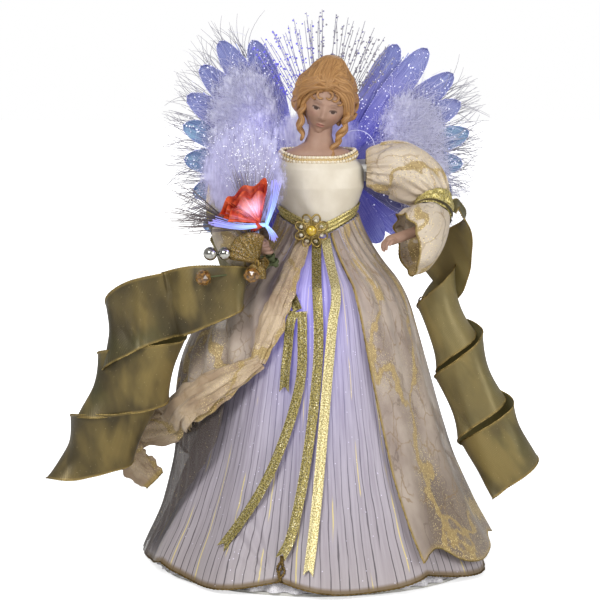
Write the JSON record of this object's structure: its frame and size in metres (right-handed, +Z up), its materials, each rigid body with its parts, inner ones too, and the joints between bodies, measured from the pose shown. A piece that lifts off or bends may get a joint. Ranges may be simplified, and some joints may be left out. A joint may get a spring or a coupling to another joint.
{
  "type": "angel tree topper",
  "caption": "Lit angel tree topper: a doll on a hollow cone with layered skirts, hinged feathered wings, swinging arms with ribbons and a bouquet, and light fibres.",
  "frame": {"origin": "on the cone's axis, on the plane that the cone's foot stands on, at the mouth of the tree socket", "axes": "+Z up along the cone's axis, -Y the way the figure faces, +X its own left side"},
  "size_m": [0.3679, 0.2576, 0.4061],
  "materials": {
    "cone_plastic": "satin",
    "lamp_plastic": "satin",
    "inlet_plastic": "satin",
    "board": "satin",
    "lens": "gloss",
    "steel": "satin",
    "light_fibre": "gloss",
    "torso_plastic": "matte",
    "satin": "satin",
    "pearl_braid": "satin",
    "painted_resin": "matte",
    "hair_resin": "matte",
    "netting": "matte",
    "organza": "satin",
    "tulle": "matte",
    "brocade": "satin",
    "gold_lame": "satin",
    "antique_gold": "satin",
    "yellow_stone": "polished",
    "wired_ribbon": "satin",
    "stem_wire": "matte",
    "silver_finish": "polished",
    "amber": "gloss",
    "needle_plastic": "matte",
    "red_film": "gloss",
    "gold_mesh": "satin",
    "wing_film": "satin",
    "plume": "matte"
  },
  "bodies": {
    "base": {"tree_cone": "cone_plastic", "lamp_housing": "lamp_plastic", "housing_lid": "lamp_plastic", "back_bracket": "lamp_plastic", "halo_holder": "lamp_plastic", "dc_inlet": "inlet_plastic", "led_board": "board", "led_lens": "lens", "fibre_ferrule": "steel", "deck_screw_left": "steel", "deck_screw_right": "steel", "lid_screw_front": "steel", "lid_screw_back": "steel", "fibre_trunk": "light_fibre", "halo_spray": "light_fibre", "torso_core": "torso_plastic", "bodice": "satin", "neckline_trim": "pearl_braid", "head": "painted_resin", "hair": "hair_resin", "petticoat": "netting", "underskirt": "organza", "tulle_panel": "tulle", "overskirt_left": "brocade", "overskirt_right": "brocade", "sash": "gold_lame", "sash_loop": "gold_lame", "sash_tail_short": "gold_lame", "sash_tail_long": "gold_lame", "sash_tail_middle": "gold_lame", "sash_tail_bright": "gold_lame", "brooch_setting": "antique_gold", "brooch_gem": "yellow_stone"},
    "arm_left": {"sleeve_left": "brocade", "cuff_band_left": "gold_lame", "bell_cuff_left": "brocade", "hand_left": "painted_resin", "stole_left": "wired_ribbon"},
    "arm_right": {"sleeve_right": "brocade", "cuff_band_right": "gold_lame", "bell_cuff_right": "brocade", "hand_right": "painted_resin", "stole_right": "wired_ribbon", "bouquet_stem": "stem_wire", "silver_berries": "silver_finish", "amber_berries": "amber", "bouquet_needles": "needle_plastic", "bouquet_fibres": "light_fibre", "bouquet_flower": "red_film", "bouquet_bow": "gold_mesh"},
    "wing_left": {"wing_root_left": "lamp_plastic", "wing_panel_left": "wing_film", "wing_plume_left": "plume", "wing_fibres_left": "light_fibre"},
    "wing_right": {"wing_root_right": "lamp_plastic", "wing_panel_right": "wing_film", "wing_plume_right": "plume", "wing_fibres_right": "light_fibre"}
  },
  "joints": [
    {"name": "arm_swing_left", "type": "hinge", "parent": "base", "child": "arm_left", "pos_m": [0.0341, 0, 0.289], "axis": [-1, 0, 0], "range_deg": [0, 20]},
    {"name": "arm_swing_right", "type": "hinge", "parent": "base", "child": "arm_right", "pos_m": [-0.0341, 0, 0.289], "axis": [-1, 0, 0], "range_deg": [0, 20]},
    {"name": "wing_fold_left", "type": "hinge", "parent": "base", "child": "wing_left", "pos_m": [0.016, 0.02926, 0.285], "axis": [0, 0, 1], "range_deg": [0, 40]},
    {"name": "wing_fold_right", "type": "hinge", "parent": "base", "child": "wing_right", "pos_m": [-0.016, 0.02926, 0.285], "axis": [0, 0, -1], "range_deg": [0, 40]}
  ]
}
